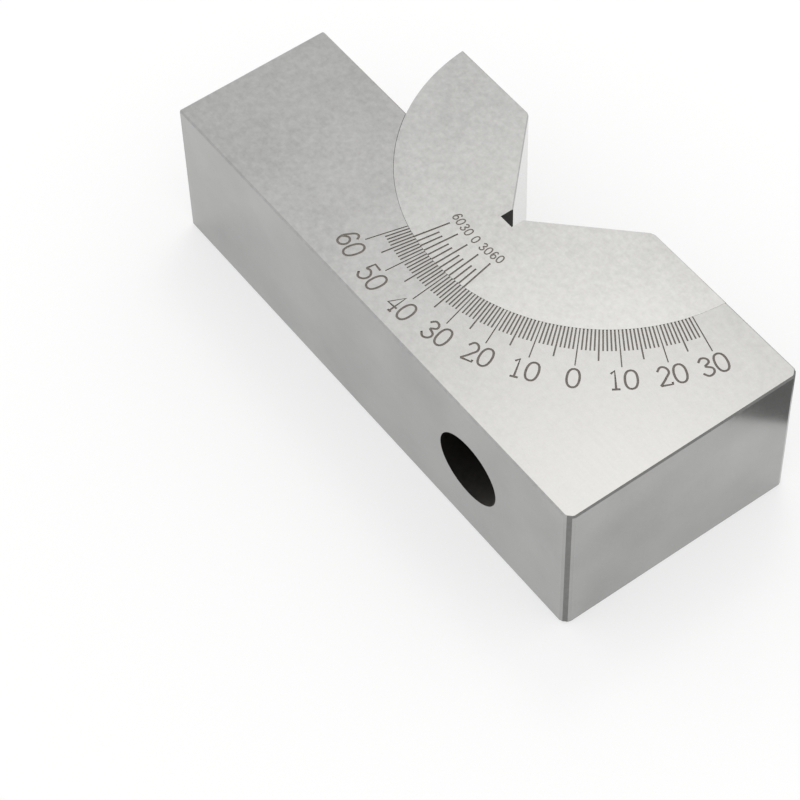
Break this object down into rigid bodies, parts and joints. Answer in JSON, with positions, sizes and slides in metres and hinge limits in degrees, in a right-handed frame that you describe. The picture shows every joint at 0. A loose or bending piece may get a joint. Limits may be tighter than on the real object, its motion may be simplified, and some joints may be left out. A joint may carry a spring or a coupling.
{
  "type": "angle v block",
  "caption": "Stepped steel block with a V insert that swivels in a round pocket against an engraved degree scale and vernier, clamped by a socket screw.",
  "frame": {"origin": "middle of the back face that the block lies on, at the bottom centre of its box", "axes": "+X along the block from the low step end to the high end, +Y from the base face to the top with the V, +Z out of the scale face"},
  "size_m": [0.1016, 0.0446, 0.0286],
  "materials": {
    "ground_block_steel": "fine ground, satin, with dark-filled engraving",
    "ground_rotor_steel": "fine ground, satin, with dark-filled engraving",
    "plain_nut_steel": "machined, lightly oiled",
    "blackened_screw_steel": "blackened, semi-matt"
  },
  "bodies": {
    "base": {"base_block": "ground_block_steel", "clamp_nut": "plain_nut_steel"},
    "rotor": {"v_rotor": "ground_rotor_steel"},
    "screw": {"clamp_screw": "blackened_screw_steel"}
  },
  "joints": [
    {"name": "rotor_swivel", "type": "hinge", "parent": "base", "child": "rotor", "pos_m": [0.0003, 0.02495, 0.0143], "axis": [0, 0, 1], "range_deg": [-15, 75]},
    {"name": "clamp_turn", "type": "hinge", "parent": "base", "child": "screw", "pos_m": [0.02042, -0.01135, 0.0143], "axis": [0.4848, -0.8746, 0], "range_deg": [0, 360]}
  ]
}
